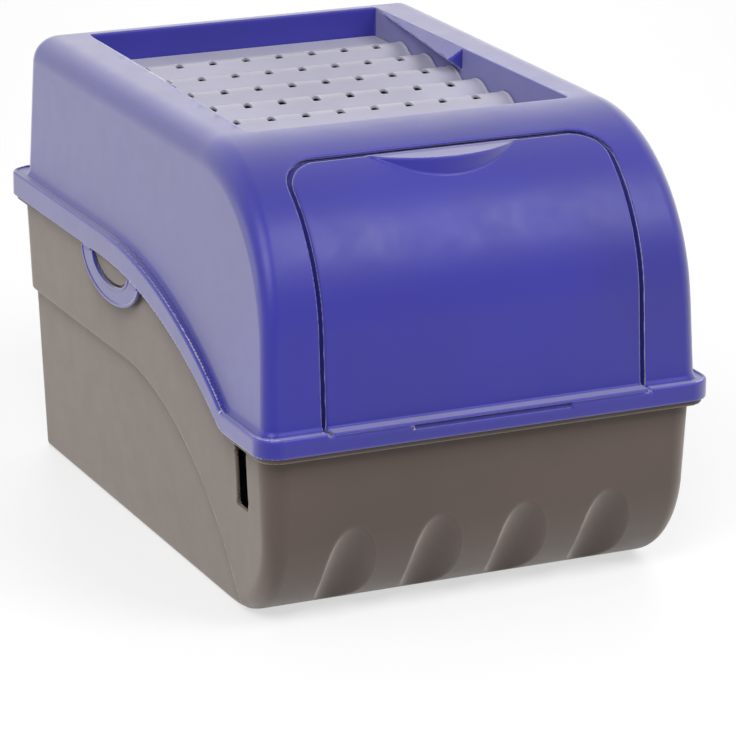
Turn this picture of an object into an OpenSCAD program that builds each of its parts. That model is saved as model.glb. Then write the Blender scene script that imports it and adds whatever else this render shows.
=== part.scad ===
// Potato storage bin: a moulded tub, a lid hood that lifts off, and a flap in the hood's front.
// The bin stands on z = 0, its front faces -Y, and the origin is under its middle.

/* [Rim] */
// Width over the lid's skirt
rim_w = 280; // [260:1:300]
// Depth over the lid's skirt
rim_d = 400; // [380:1:430]
// Plan radius of the skirt's corners
rim_corner_r = 14; // [11:1:18]
// Height of the skirt's lower edge at the front
skirt_low_front = 109; // [104:1:114]
// Height of the skirt's lower edge along the back
skirt_low_back = 162; // [156:1:168]
// Height of the skirt at the front
skirt_h_front = 11.5; // [10:0.5:13]
// Height of the skirt along the back
skirt_h_back = 15; // [13:0.5:17]
// Wall of the skirt
skirt_wall = 2; // [1.6:0.1:2.4]
// Thickness of the ledge between the skirt and the hood
ledge_t = 3.6; // [3.4:0.1:4.2]
// Place along the depth where the rim starts to fall
fall_start = 40; // [30:1:60]
// Place along the depth where the rim has fallen to the front's height
fall_end = -140; // [-150:1:-130]

/* [Hood] */
// Height of the bin's flat top
hood_top = 264; // [256:1:272]
// Wall of the hood
hood_wall = 2.5; // [2:0.1:3]
// Width of the ledge from the skirt's face to the hood's front
hood_front_in = 9.5; // [8:0.5:11]
// Width of the ledge from the skirt's face to the hood's sides
hood_side_in = 6; // [5:0.5:8]
// Width of the ledge from the skirt's face to the hood's back
hood_back_in = 10.5; // [9:0.5:12]
// Lean of the hood's front, backwards per unit of height
hood_front_lean = 0.075; // [0.05:0.005:0.1]
// Lean of the hood's sides, inwards per unit of height
hood_side_lean = 0.028; // [0.02:0.002:0.04]
// Lean of the hood's back, forwards per unit of height
hood_back_lean = 0.02; // [0.01:0.002:0.03]
// Radius of the large curve from the front into the top
front_curve_r = 100; // [90:1:110]
// Radius of the hood's upright corners at the front
hood_front_r = 8; // [7:0.5:10]
// Radius of the hood's upright corners at the back
hood_back_r = 8; // [7:0.5:12]
// Radius of the hood's top edges
hood_edge_r = 16; // [13:1:18]

/* [Well] */
// Place of the well's front edge
well_front = -89; // [-94:1:-84]
// Place of the well's back edge
well_back = 167; // [160:1:170]
// Width of the well at its front edge
well_w_front = 200; // [190:1:206]
// Width of the well at its back edge
well_w_back = 192; // [184:1:200]
// Depth from the top to the seat of the vent panel
well_depth = 22.3; // [20:0.1:24]
// Width of the seat round the foot of the well
well_seat = 7; // [5:0.5:9]
// Thickness of the seat
well_seat_t = 2.5; // [2:0.1:3]
// Place where the retaining ramps end
ramp_end = 45; // [35:1:60]
// Reach of the retaining ramps over the panel's edge
ramp_reach = 10; // [7:0.5:12]
// Drop of the retaining ramps' inner edge
ramp_drop = 6; // [4:0.5:8]

/* [Vent panel] */
// Thickness of the corrugated sheet
vent_t = 2; // [1.6:0.1:2.4]
// Ridges across the panel
ridge_count = 6; // [5:1:6]
// Distance from ridge to ridge
ridge_pitch = 35; // [32:0.5:36]
// Width of one ridge
ridge_w = 24; // [20:0.5:27]
// Height of the ridges over the valleys
ridge_h = 6; // [4:0.5:7]
// Slots in each row
slot_count = 8; // [6:1:8]
// Distance from slot to slot
slot_pitch = 22; // [20:0.5:23]
// Length of each slot
slot_l = 16; // [12:0.5:18]
// Width of each slot
slot_w = 5; // [4:0.1:6]
// Distance of each slot's middle behind its ridge's crest
slot_behind = 3; // [0:0.5:5]
// Height of the flat bars along the panel's ends
end_bar_h = 4; // [3:0.5:5]
// Clearance round the panel
vent_gap = 0.4; // [0.3:0.05:0.6]

/* [Front flap] */
// Width of the flap
flap_w = 194.4; // [180:0.2:200]
// Angle on the front curve, up from level, where the flap ends
flap_top_angle = 65; // [60:1:68]
// Radius of the flap's top corners
flap_corner_r = 20; // [16:1:26]
// Groove round the flap
flap_gap = 2; // [1.6:0.1:2.4]
// Clearance between the flap and the stop behind it
flap_stop_gap = 0.4; // [0.3:0.05:0.6]
// Width of the stop seen through the opening
flap_stop_w = 6; // [4:0.5:8]
// Thickness of the stop
flap_stop_t = 2.3; // [2:0.1:3]
// Thickness of the lip at the flap's foot
lip_t = 1.6; // [1.4:0.1:1.8]
// Clearance under the lip, which the film hinges bridge
lip_gap = 0.4; // [0.3:0.05:0.5]
// Width of the open slot between the two film hinges
hinge_slot_w = 97.6; // [85:0.2:110]
// Height of the open slot between the two film hinges
hinge_slot_h = 3; // [2:0.1:3.4]
// Thickness of the film hinges
film_t = 0.6; // [0.4:0.1:0.8]
// Width of the finger grip
grip_w = 90; // [80:1:100]
// Reach of the finger grip
grip_reach = 17; // [13:0.5:19]
// Height of the grip's shelf below the flat top
grip_drop = 10; // [9:0.5:12]
// Height of the grip's face
grip_h = 12; // [10:0.5:16]

/* [Side clips] */
// Back end of each clip
clip_back = 72; // [66:1:78]
// Front end of each clip
clip_front = -20; // [-24:1:-14]
// Lowest point of each clip, below the skirt's back height
clip_drop = 25; // [22:1:28]
// Width of the clip's strap
strap_w = 11; // [9:0.5:13]
// Thickness of the clip
clip_t = 1.8; // [1.5:0.1:2]
// Clearance between clip and skirt, which the film hinges bridge
clip_gap = 0.4; // [0.3:0.05:0.5]
// Clearance round and behind the catch nub
nub_gap = 1; // [0.6:0.1:1.5]

/* [Tub] */
// Clearance of the tub's rim bead inside the skirt
bead_gap = 0.4; // [0.3:0.05:0.6]
// Height of the rim bead that shows below the skirt
bead_show = 3.2; // [2:0.1:4]
// Seating clearance between the tub's rim and the lid's ledge
seat_gap = 0.3; // [0.2:0.05:0.5]
// Step from the skirt's face to the tub's side walls at the rim
tub_side_in = 3.4; // [3.2:0.1:5]
// Step from the skirt's face to the tub's front wall, carried up to the back rim's height
tub_front_in = 5.2; // [4.6:0.1:6.5]
// Step from the skirt's face to the tub's back wall at the rim
tub_back_in = 8.9; // [7.5:0.1:9.5]
// Wall of the tub
tub_wall = 2.5; // [2:0.1:3]
// Thickness of the tub's floor
floor_t = 3; // [2.4:0.1:4]
// Lean of the tub's walls, sideways per unit of height
tub_lean = 0.047; // [0.04:0.001:0.05]
// Radius of the tub's upright corners at the top
tub_corner_r = 18; // [17:1:22]
// Radius of the rounded edge from the front to the floor
toe_r = 62; // [56:1:66]
// Height of the raised band's lower edge along the back
band_low = 105.5; // [100:0.5:112]
// Step in from the raised band to the lower wall at the sides
band_step = 3.5; // [2.5:0.1:4]
// Step in from the raised band to the lower wall at the back
band_back_step = 1.6; // [1:0.1:2]
// Radius of the band's lower edge where it falls to the floor
band_fall_r = 190; // [180:1:200]
// Place along the depth where the band's edge starts to fall
band_fall_start = 25; // [15:1:35]
// Extra wall behind the rounded edge
toe_thicker = 0.6; // [0.4:0.1:1]
// Scoops across the rounded edge, with a rib between each two
scoop_count = 4; // [2:1:4]
// Distance from scoop to scoop
scoop_pitch = 53.2; // [50:0.2:54]
// Radius of the scoops' hollow
scoop_r = 17; // [14:0.5:19]
// Height of the scoops' upper end
scoop_h = 60; // [56:1:62]
// Slant of the scoops' hollow from upright, in degrees
scoop_slant = 34; // [32:0.5:38]
// Width of the side slots
side_slot_w = 15; // [12:0.5:18]
// Height of the side slots
side_slot_h = 38.5; // [34:0.5:42]
// Middle of the side slots along the depth
side_slot_y = -153; // [-156:1:-150]
// Height of the side slots' lower end
side_slot_z = 67; // [64:0.5:72]

/* [Hidden] */
$fn = 64;
lid_colour = "#423fa0";
panel_colour = "#b0adc8";
tub_colour = "#82766f";
reach = 600;
overlap = 0.01;
fall_steps = 24;
form_fn = 24;
curve_stations = 7;
half_w = rim_w / 2;
half_d = rim_d / 2;
ledge_front = skirt_low_front + skirt_h_front;
ledge_back = skirt_low_back + skirt_h_back;
front_face = half_d - hood_front_in;
curve_y = hood_front_lean * (hood_top - front_curve_r - ledge_front) - front_face + front_curve_r;
curve_z = hood_top - front_curve_r;
hood_back_foot = half_d - hood_back_in;
hood_foot = skirt_low_front - 10;
seat_z = hood_top - well_depth;
vent_valley = seat_z + seat_gap + vent_t;
vent_crest = vent_valley + ridge_h;
ridge_middle = (well_front + well_back) / 2;
lip_top = ledge_front;
lip_low = lip_top - lip_t;
recess_floor = lip_low - lip_gap;
grip_r = (pow(grip_w / 2, 2) + pow(grip_reach, 2)) / (2 * grip_reach);
grip_z = hood_top - grip_drop;
grip_foot_y = curve_y - sqrt(pow(front_curve_r, 2) - pow(grip_z - curve_z, 2));
clip_outer = half_w - 0.2;
clip_inner = clip_outer - clip_t;
tub_half_w = half_w - tub_side_in;
tub_front = half_d - tub_front_in;
tub_back = half_d - tub_back_in;
tub_top = ledge_back;
toe_y = tub_lean * (tub_top - toe_r) - tub_front + toe_r;
scoop_y = toe_y - sqrt(pow(toe_r, 2) - pow(toe_r - scoop_h, 2));

// Height of the rim's falling line at one place along the depth
function fall_radius(drop) = (pow(fall_start - fall_end, 2) + pow(drop, 2)) / (2 * drop);
function fall_z(y, low, high) =
    y >= fall_start ? high :
    y <= fall_end ? low :
    high - fall_radius(high - low) + sqrt(pow(fall_radius(high - low), 2) - pow(fall_start - y, 2));
function fall_points(low, high) =
    [for (i = [0 : fall_steps]) let (y = fall_end + (fall_start - fall_end) * i / fall_steps)
        [y, fall_z(y, low, high)]];
// Half width of the hood's wall at one height, and of the well at one place along the depth
function hood_half(z) = half_w - hood_side_in - hood_side_lean * (z - ledge_front);
function well_half(y) =
    (well_w_front + (well_w_back - well_w_front) * (y - well_front) / (well_back - well_front)) / 2;

// A shape drawn along the depth and the height, carried across the bin's width
module across(w) {
    rotate([90, 0, 90]) translate([0, 0, -w / 2]) linear_extrude(w) children();
}

module above_line(low, high) {
    across(reach) polygon(concat([[-reach, low]], fall_points(low, high),
                                 [[reach, high], [reach, reach], [-reach, reach]]));
}

module below_line(low, high) {
    across(reach) polygon(concat([[-reach, low]], fall_points(low, high),
                                 [[reach, high], [reach, -reach], [-reach, -reach]]));
}

module plan(w, d, r) {
    square([w - 2 * r, d], center = true);
    square([w, d - 2 * r], center = true);
    for (x = [-1, 1], y = [-1, 1]) translate([x * (w / 2 - r), y * (d / 2 - r)]) circle(r);
}

module column(w, d, r) {
    linear_extrude(reach, center = true) plan(w, d, r);
}

// A box whose walls lean in towards the floor and whose corners are upright cones
module leaning_box(half_w, front, back, r, top, lean) {
    low_r = r - lean * top;
    cx = half_w - r;
    front_y = r - front;
    back_y = back - r;
    for (x = [-cx, cx], y = [front_y, back_y]) translate([x, y, 0]) cylinder(h = top, r1 = low_r, r2 = r);
    translate([0, back_y, 0]) rotate([90, 0, 0]) linear_extrude(back_y - front_y)
        polygon([[-cx - low_r, 0], [cx + low_r, 0], [cx + r, top], [-cx - r, top]]);
    across(2 * cx) polygon([[front_y - low_r, 0], [back_y + low_r, 0], [back_y + r, top], [front_y - r, top]]);
}

// The hood's full form: one ball at each end of each station, drawn into one skin
module hood_form(inset) {
    hull() {
        for (side = [-1, 1]) {
            for (i = [0 : curve_stations]) {
                angle = 90 * i / curve_stations;
                r = hood_front_r + (hood_edge_r - hood_front_r) * i / curve_stations;
                y = curve_y - (front_curve_r - r) * cos(angle);
                z = curve_z + (front_curve_r - r) * sin(angle);
                translate([side * (hood_half(z) - r), y, z]) sphere(r - inset, $fn = form_fn);
            }
            back_z = hood_top - hood_edge_r;
            back_y = hood_back_foot - hood_back_lean * (back_z - ledge_back) - hood_edge_r;
            translate([side * (hood_half(back_z) - hood_edge_r), back_y, back_z])
                sphere(hood_edge_r - inset, $fn = form_fn);
            foot_front = -front_face - hood_front_lean * (ledge_front - hood_foot);
            foot_back = hood_back_foot + hood_back_lean * (ledge_back - hood_foot);
            translate([side * (hood_half(hood_foot) - hood_front_r), foot_front + hood_front_r, hood_foot])
                cylinder(h = 1, r = hood_front_r - inset, $fn = form_fn);
            translate([side * (hood_half(hood_foot) - hood_back_r), foot_back - hood_back_r, hood_foot])
                cylinder(h = 1, r = hood_back_r - inset, $fn = form_fn);
        }
    }
}

// A prism through the front curve, square to it at the flap's top edge
module flap_prism(w, top_grow, r) {
    top_y = curve_y - front_curve_r * cos(flap_top_angle);
    top_z = curve_z + front_curve_r * sin(flap_top_angle);
    depth = 60;
    length = 200;
    translate([0, top_y, top_z]) rotate([270 - flap_top_angle, 0, 0]) translate([0, -top_grow, -30])
        linear_extrude(30 + depth) {
            translate([-w / 2, r]) square([w, length]);
            translate([-w / 2 + r, 0]) square([w - 2 * r, length]);
            for (x = [-1, 1]) translate([x * (w / 2 - r), r]) circle(r);
        }
    translate([-w / 2, -half_d + 1, recess_floor]) cube([w, depth, top_z - recess_floor - 60]);
}

module well_prism(grow, low, high) {
    front = well_half(well_front) + grow;
    back = well_half(well_back) + grow;
    translate([0, 0, low]) linear_extrude(high - low)
        polygon([[-front, well_front - grow], [front, well_front - grow],
                 [back, well_back + grow], [-back, well_back + grow]]);
}

// Ramp that slopes from the well's top edge down over the panel's side edge
module retaining_ramp() {
    low = vent_crest + seat_gap;
    top = hood_top - 0.5;
    bed = hood_wall / 2;
    back_x = well_half(well_back);
    end_x = well_half(ramp_end);
    polyhedron(points = [[back_x, well_back, top], [end_x, ramp_end, top],
                         [end_x - ramp_reach, ramp_end, top - ramp_drop], [end_x, ramp_end, low],
                         [back_x + bed, well_back, top], [end_x + bed, ramp_end, top],
                         [end_x + bed, ramp_end, low]],
               faces = [[0, 1, 2], [0, 2, 3], [0, 3, 6], [0, 6, 4], [0, 4, 5], [0, 5, 1],
                        [1, 5, 6], [1, 6, 3], [1, 3, 2], [4, 6, 5]]);
}

module skirt_ring() {
    difference() {
        intersection() {
            column(rim_w, rim_d, rim_corner_r);
            above_line(skirt_low_front, skirt_low_back);
            below_line(ledge_front, ledge_back);
        }
        intersection() {
            column(rim_w - 2 * skirt_wall, rim_d - 2 * skirt_wall, rim_corner_r - skirt_wall);
            below_line(ledge_front - ledge_t, ledge_back - ledge_t);
        }
        hood_form(hood_wall);
    }
}

// The stop behind the flap's edges
module flap_stop() {
    outer_w = flap_w + 2 * flap_gap + 2 * hood_wall;
    inner_w = flap_w + 2 * flap_gap - 2 * flap_stop_w;
    stop_outer = hood_wall + flap_stop_gap;
    intersection() {
        difference() {
            hood_form(hood_wall - overlap);
            hood_form(stop_outer + flap_stop_t);
            flap_prism(inner_w, flap_gap - flap_stop_w, flap_corner_r - 2);
            difference() {
                flap_prism(flap_w + 2 * flap_gap, flap_gap, flap_corner_r + flap_gap);
                hood_form(stop_outer);
            }
        }
        flap_prism(outer_w, flap_gap + hood_wall, flap_corner_r + flap_gap);
        above_line(ledge_front - ledge_t, ledge_back - ledge_t);
    }
}

module lid_hood() color(lid_colour) {
    difference() {
        union() {
            difference() {
                intersection() {
                    hood_form(0);
                    above_line(ledge_front - ledge_t, ledge_back - ledge_t);
                }
                hood_form(hood_wall);
                flap_prism(flap_w + 2 * flap_gap, flap_gap, flap_corner_r + flap_gap);
            }
            skirt_ring();
            flap_stop();
            intersection() {
                difference() {
                    well_prism(hood_wall, seat_z - well_seat_t, hood_top);
                    well_prism(-well_seat, 0, hood_top);
                }
                hood_form(0);
            }
        }
        well_prism(0, seat_z, reach);
        lip_recess_w = flap_w + 2 * flap_gap;
        translate([-lip_recess_w / 2, -reach - front_face + 3, recess_floor])
            cube([lip_recess_w, reach, reach]);
        translate([-hinge_slot_w / 2, -reach - half_d + 1.5, lip_low - hinge_slot_h])
            cube([hinge_slot_w, reach, hinge_slot_h]);
    }
    for (side = [0, 1]) mirror([side, 0, 0]) retaining_ramp();
}

module front_flap() color(lid_colour) {
    intersection() {
        difference() {
            hood_form(0);
            hood_form(hood_wall);
        }
        flap_prism(flap_w, 0, flap_corner_r);
        translate([0, 0, lip_low + reach / 2]) cube(reach, center = true);
    }
    translate([-flap_w / 2, -half_d, lip_low]) cube([flap_w, hood_front_in + hood_wall, lip_t]);
    intersection() {
        translate([0, grip_foot_y - grip_reach + grip_r, grip_z - grip_h]) cylinder(h = grip_h, r = grip_r);
        difference() {
            translate([-grip_w / 2, grip_foot_y - 2 * grip_reach, 0])
                cube([grip_w, 2 * grip_reach + 4, reach]);
            hood_form(overlap);
        }
    }
}

module flap_hinge() {
    length = (flap_w - hinge_slot_w) / 2;
    translate([hinge_slot_w / 2, -half_d, recess_floor]) cube([length, film_t, lip_gap]);
}

module flap_hinge_left() color(lid_colour) mirror([1, 0, 0]) flap_hinge();

module flap_hinge_right() color(lid_colour) flap_hinge();

// Line of the panel's top face: bars at both ends, ridges between them
function ridge_y(i) = ridge_middle + (i - (ridge_count - 1) / 2) * ridge_pitch;
function ridge_line() =
    [for (i = [0 : ridge_count - 1], t = [0 : 8])
        [ridge_y(i) + (t / 4 - 1) * ridge_w / 2, vent_valley + ridge_h * sin(22.5 * t)]];

module vent_panel() color(panel_colour) {
    first = ridge_y(0) - ridge_pitch / 2;
    last = ridge_y(ridge_count - 1) + ridge_pitch / 2;
    low = vent_valley - vent_t;
    bar_top = low + end_bar_h;
    difference() {
        intersection() {
            across(reach) polygon(concat(
                [[well_front, low], [well_front, bar_top], [first, bar_top], [first, vent_valley]],
                ridge_line(),
                [[last, vent_valley], [last, bar_top], [well_back, bar_top], [well_back, low]],
                [for (p = ridge_line()) [first + last - p[0], p[1] - vent_t]]));
            well_prism(-vent_gap, 0, reach);
        }
        for (i = [0 : ridge_count - 1], k = [0 : slot_count - 1])
            translate([(k - (slot_count - 1) / 2) * slot_pitch, ridge_y(i) + slot_behind, vent_crest])
                cube([slot_w, slot_l, 40], center = true);
    }
}

// The clip's outline beside the skirt: a half ellipse drawn by one formula, less its own inset copy
module clip_outline(inset) {
    middle = (clip_back + clip_front) / 2;
    half_l = (clip_back - clip_front) / 2 - inset * 1.6;
    deep = clip_drop - inset;
    polygon([for (i = [0 : 32]) let (t = 180 * i / 32)
        [middle + half_l * cos(t), skirt_low_back - deep * sin(t)]]);
}

module clip_solid(outline_inset, from, to) {
    translate([(from + to) / 2, 0, 0]) intersection() {
        across(to - from) clip_outline(outline_inset);
        translate([0, 0, -clip_gap]) below_line(skirt_low_front, skirt_low_back);
    }
}

module side_clip() {
    difference() {
        clip_solid(0, clip_inner, clip_outer);
        clip_solid(strap_w, clip_inner - 1, clip_outer + 1);
    }
}

module side_clip_left() color(lid_colour) mirror([1, 0, 0]) side_clip();

module side_clip_right() color(lid_colour) side_clip();

// Films that fill the gap between the strap's two upper ends and the skirt
module clip_hinge() {
    film_l = 12;
    edge = 3;
    for (y = [clip_back - edge - film_l, clip_front + edge]) intersection() {
        translate([clip_outer - film_t, y, 0]) cube([film_t, film_l, reach]);
        above_line(skirt_low_front - clip_gap, skirt_low_back - clip_gap);
        below_line(skirt_low_front, skirt_low_back);
    }
}

module clip_hinge_left() color(lid_colour) mirror([1, 0, 0]) clip_hinge();

module clip_hinge_right() color(lid_colour) clip_hinge();

// Outline of the band's lower edge: level from the back, then an arc down to the floor
module above_band(lift) {
    across(reach) difference() {
        translate([-reach, -reach]) square([2 * reach, 2 * reach]);
        translate([band_fall_start, -reach]) square([reach, reach + band_low + lift]);
        translate([band_fall_start, band_low + lift - band_fall_r]) circle(band_fall_r, $fn = 128);
    }
}

// Everything outside the big rounded edge from the front to the floor, up to where its arc is outside the wall
module toe_cut(inset) {
    across(reach) difference() {
        translate([toe_y - reach, -reach]) square([reach, reach + toe_r * (1 - tub_lean)]);
        translate([toe_y, toe_r]) circle(toe_r - inset);
    }
}

// Slanting cylinders that hollow the rounded edge out and leave it at their upper end
module scoops(inset) {
    for (i = [0 : scoop_count - 1]) translate([(i - (scoop_count - 1) / 2) * scoop_pitch, scoop_y, scoop_h])
        rotate([scoop_slant, 0, 0]) translate([0, -scoop_r, 0])
            cylinder(h = 3 * scoop_h, r = scoop_r + inset, center = true);
}

// The tub's leaning box, set in all round by one amount and further in at the sides, the front and the back
module tub_box(inset, side_step, front_step, back_step) {
    leaning_box(tub_half_w - side_step - inset, tub_front - front_step - inset,
                tub_back - back_step - inset, tub_corner_r - side_step - inset, tub_top, tub_lean);
}

// The rounded edge from the front to the floor, with the scoops in it
module toe_with_scoops(inset) {
    toe_cut(inset);
    scoops(inset);
}

module tub_outside() {
    difference() {
        union() {
            intersection() {
                tub_box(0, 0, 0, 0);
                above_band(0);
            }
            tub_box(0, band_step, band_step, band_back_step);
        }
        toe_with_scoops(0);
    }
}

module above_height(z) {
    translate([-reach / 2, -reach / 2, z]) cube(reach);
}

module tub_inside() {
    difference() {
        intersection() {
            tub_box(tub_wall, band_step, toe_thicker, band_back_step);
            above_height(floor_t);
        }
        toe_with_scoops(tub_wall);
    }
    intersection() {
        tub_box(tub_wall, 0, 0, 0);
        above_band(tub_wall);
        above_height(toe_r + tub_wall);
    }
}

module tub() color(tub_colour) {
    bead_half_w = half_w - skirt_wall - bead_gap;
    bead_half_d = half_d - skirt_wall - bead_gap;
    rim_front = ledge_front - ledge_t - seat_gap;
    rim_back = ledge_back - ledge_t - seat_gap;
    difference() {
        union() {
            intersection() {
                tub_outside();
                below_line(rim_front, rim_back);
            }
            intersection() {
                column(2 * bead_half_w, 2 * bead_half_d, rim_corner_r - skirt_wall - bead_gap);
                above_line(skirt_low_front - bead_show, skirt_low_back - bead_show);
                below_line(rim_front, rim_back);
            }
            for (side = [0, 1]) mirror([side, 0, 0])
                clip_solid(strap_w + nub_gap, tub_half_w - tub_wall, clip_inner - seat_gap);
        }
        tub_inside();
        for (side = [-1, 1])
            translate([side * tub_half_w, side_slot_y, side_slot_z + side_slot_h / 2])
                cube([40, side_slot_w, side_slot_h], center = true);
    }
}

tub();
lid_hood();
front_flap();
flap_hinge_left();
flap_hinge_right();
vent_panel();
side_clip_left();
side_clip_right();
clip_hinge_left();
clip_hinge_right();
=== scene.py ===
"""Looks of a kitchen storage bin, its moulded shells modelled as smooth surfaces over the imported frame."""

import math

import bpy
import numpy as np
from mathutils import Matrix, Vector


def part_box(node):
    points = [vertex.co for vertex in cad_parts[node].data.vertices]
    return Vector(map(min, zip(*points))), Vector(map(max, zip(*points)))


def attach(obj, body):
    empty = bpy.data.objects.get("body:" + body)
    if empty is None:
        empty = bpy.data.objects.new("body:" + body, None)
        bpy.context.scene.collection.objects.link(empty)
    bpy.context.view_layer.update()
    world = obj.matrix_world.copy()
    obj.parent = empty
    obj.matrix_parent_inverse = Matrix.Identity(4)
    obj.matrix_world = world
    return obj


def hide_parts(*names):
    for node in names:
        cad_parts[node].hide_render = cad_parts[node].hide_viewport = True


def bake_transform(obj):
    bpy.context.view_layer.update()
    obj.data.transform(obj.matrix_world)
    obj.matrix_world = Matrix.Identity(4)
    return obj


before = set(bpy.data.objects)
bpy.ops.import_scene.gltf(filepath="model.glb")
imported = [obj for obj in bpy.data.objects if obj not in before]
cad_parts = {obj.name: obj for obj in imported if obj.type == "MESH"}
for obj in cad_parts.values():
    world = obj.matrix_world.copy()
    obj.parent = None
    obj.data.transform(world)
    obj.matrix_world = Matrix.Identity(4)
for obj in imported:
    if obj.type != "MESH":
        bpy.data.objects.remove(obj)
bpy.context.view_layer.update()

MM = 0.001


def box_of(node):
    """Lowest and highest corner of a node, in millimetres."""
    return [np.array(corner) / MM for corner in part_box(node)]


# Sizes in millimetres. The frame gives the outer ones.
HOOD_LOW, HOOD_HIGH = box_of("lid_hood")
FLAP_LOW, FLAP_HIGH = box_of("front_flap")
HALF_W = HOOD_HIGH[0]
HALF_D = HOOD_HIGH[1]

# Clearances
SEAT_GAP = 0.3
PANEL_GAP = 0.4
BEAD_GAP = 0.4
CLIP_GAP = 0.4
RECESS_GAP = 0.4
NUB_GAP = 1.0
FLAP_GAP = 2.6

# Rim of the lid
RIM_CORNER_R = 14.0
SKIRT_FRONT = HOOD_LOW[2]
SKIRT_BACK = 162.0
LIP_T = 1.6
LEDGE_FRONT = FLAP_LOW[2] + LIP_T
LEDGE_BACK = 177.0
LEDGE_T = 3.6
SKIRT_WALL = 2.0
FALL_START = 40.0
FALL_END = -140.0
FALL_LIMIT = 0.95
KINK_SOFT = 2.5
SKIRT_EDGE_R = 1.8
SKIRT_FOOT_R = 0.7
WALL_FOOT_R = 2.4
CHANNEL_DEPTH = 1.3
CHANNEL_IN = 1.2
CHANNEL_OUT = 2.2
CHANNEL_EDGE_R = 1.5

# Hood
TOP = HOOD_HIGH[2]
HOOD_WALL = 2.5
FRONT_LEAN = 0.075
SIDE_LEAN = 0.028
BACK_LEAN = 0.02
LEAN_ANGLE = math.atan(FRONT_LEAN)
SIDE_FOOT = HALF_W - 6.0
FRONT_FOOT = HALF_D - 9.5
BACK_FOOT = HALF_D - 10.5
CURVE_R = 100.0
CURVE_Z = TOP - CURVE_R
CURVE_Y = FRONT_LEAN * (CURVE_Z - LEDGE_FRONT) - FRONT_FOOT + CURVE_R
HOOD_EDGE_R = 16.0
HOOD_FOOT_R = 8.0
HOOD_FOOT = 99.0
HOOD_INNER_R = 0.5

# Well and vent panel
WELL_FRONT = -89.0
WELL_BACK = 167.0
WELL_HALF_FRONT = 100.0
WELL_HALF_BACK = 96.0
WELL_CORNER_R = 2.0
WELL_EDGE_R = 1.1
SEAT_Z = TOP - 22.3
SEAT_W = 7.0
SEAT_T = 2.5
RAMP_END = 45.0
RAMP_REACH = 10.0
RAMP_DROP = 6.0
RAMP_SINK = 0.5
RAMP_IN_WALL = 1.0
RAMP_EDGE_R = 0.5
SHEET_T = 2.0
VALLEY_Z = SEAT_Z + SEAT_GAP + SHEET_T
RIDGE_COUNT = 6
RIDGE_PITCH = 35.0
RIDGE_HALF = 12.0
RIDGE_H = 6.0
RIDGE_FOOT_R = 3.0
RIDGE_MIDDLE = (WELL_FRONT + WELL_BACK) / 2
END_BAR_H = 2.0
END_BAR_EDGE_R = 0.4
END_BAR_FOOT_R = 0.6
PANEL_RIM_H = 0.45
PANEL_RIM_IN = 2.2
PANEL_RIM_OUT = 1.2
PANEL_EDGE_R = 0.5
SLOT_COUNT = 8
SLOT_PITCH = 22.0
SLOT_HALF_W = 2.5
SLOT_HALF_L = 8.0
SLOT_BEHIND = 3.0
SLOT_CORNER_R = 0.6
SLOT_EDGE_R = 0.35

# Flap and its opening
FLAP_HALF = FLAP_HIGH[0]
FLAP_CORNER_R = 20.0
FLAP_TOP_ANGLE = math.radians(65)
FLAP_EDGE_R = 1.4
FLAP_INNER_R = 0.4
OPENING_EDGE_R = 1.4
OPENING_EDGE_MORE = 0.6
OPENING_EDGE_RUN = 40.0
GROOVE_DEPTH = 5.0
UNDERCUT = 0.5
STOP_T = 2.3
STOP_W = 6.0
STOP_OVERLAP = 0.3
LIP_LOW = FLAP_LOW[2]
LIP_TOP = LEDGE_FRONT
LIP_EDGE_R = 0.8
LIP_END_R = 0.4
LIP_FOOT_R = 1.4
RECESS_FLOOR = LIP_LOW - RECESS_GAP
HINGE_SLOT_HALF = 48.8
HINGE_SLOT_H = 3.0
HINGE_SLOT_DEPTH = 1.5
GRIP_HALF = 45.0
GRIP_REACH = 17.0
GRIP_Z = TOP - 10.0
GRIP_H = 12.0
GRIP_R = (GRIP_HALF ** 2 + GRIP_REACH ** 2) / (2 * GRIP_REACH)
GRIP_FOOT_Y = CURVE_Y - math.sqrt(CURVE_R ** 2 - (GRIP_Z - CURVE_Z) ** 2)
GRIP_EDGE_R = 0.9
GRIP_FOOT_R = 1.2
GRIP_IN_FACE = 1.5
GRIP_BEHIND = 4.0

# Side clips
CLIP_MIDDLE = 26.0
CLIP_HALF_L = 46.0
CLIP_DROP = 25.0
CLIP_OUTER = HALF_W - 0.2
CLIP_T = 1.8
STRAP_W = 11.0
STRAP_END = 1.6
STRAP_EDGE_R = 0.8
STRAP_TOP_R = 0.3
STRAP_FACE_R = 0.5
STRAP_HOLLOW = 0.55
STRAP_BORDER = 1.4
STRAP_BORDER_END = 2.0

# Film hinges
FILM_T = 0.45
FILM_W = 1.6
FILM_SINK = 0.02
FILM_WAIST = 0.35
CLIP_FILM_L = 12.0
CLIP_FILM_IN = 3.0

# Tub
BEAD_HALF_W = HALF_W - SKIRT_WALL - BEAD_GAP
BEAD_HALF_D = HALF_D - SKIRT_WALL - BEAD_GAP
BEAD_SHOW = 3.2
BEAD_EDGE_R = 0.6
BEAD_FOOT_R = 1.2
NUB_EDGE_R = 0.6
TUB_HALF_W = HALF_W - 3.4
TUB_FRONT = HALF_D - 5.2
TUB_BACK = HALF_D - 8.9
TUB_TOP = LEDGE_BACK
TUB_LEAN = 0.047
TUB_CORNER_R = 18.0
TUB_LEAST_R = 1.5
TUB_WALL = 2.5
TUB_RIM_R = 0.7
TUB_RIM_INNER_R = 0.8
FLOOR_T = 3.0
FLOOR_INNER_R = 3.0
FLOOR_EDGE_R = 2.5
TOE_R = 62.0
TOE_Y = TUB_LEAN * (TUB_TOP - TOE_R) - TUB_FRONT + TOE_R
TOE_BLEND_BACK = 10.0
TOE_BLEND_FRONT = 25.0
BAND_LOW = 105.5
BAND_STEP = 3.5
BAND_BACK_STEP = 1.6
BAND_RUN = 4.5
BAND_FALL_R = 190.0
BAND_FALL_START = 25.0
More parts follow.
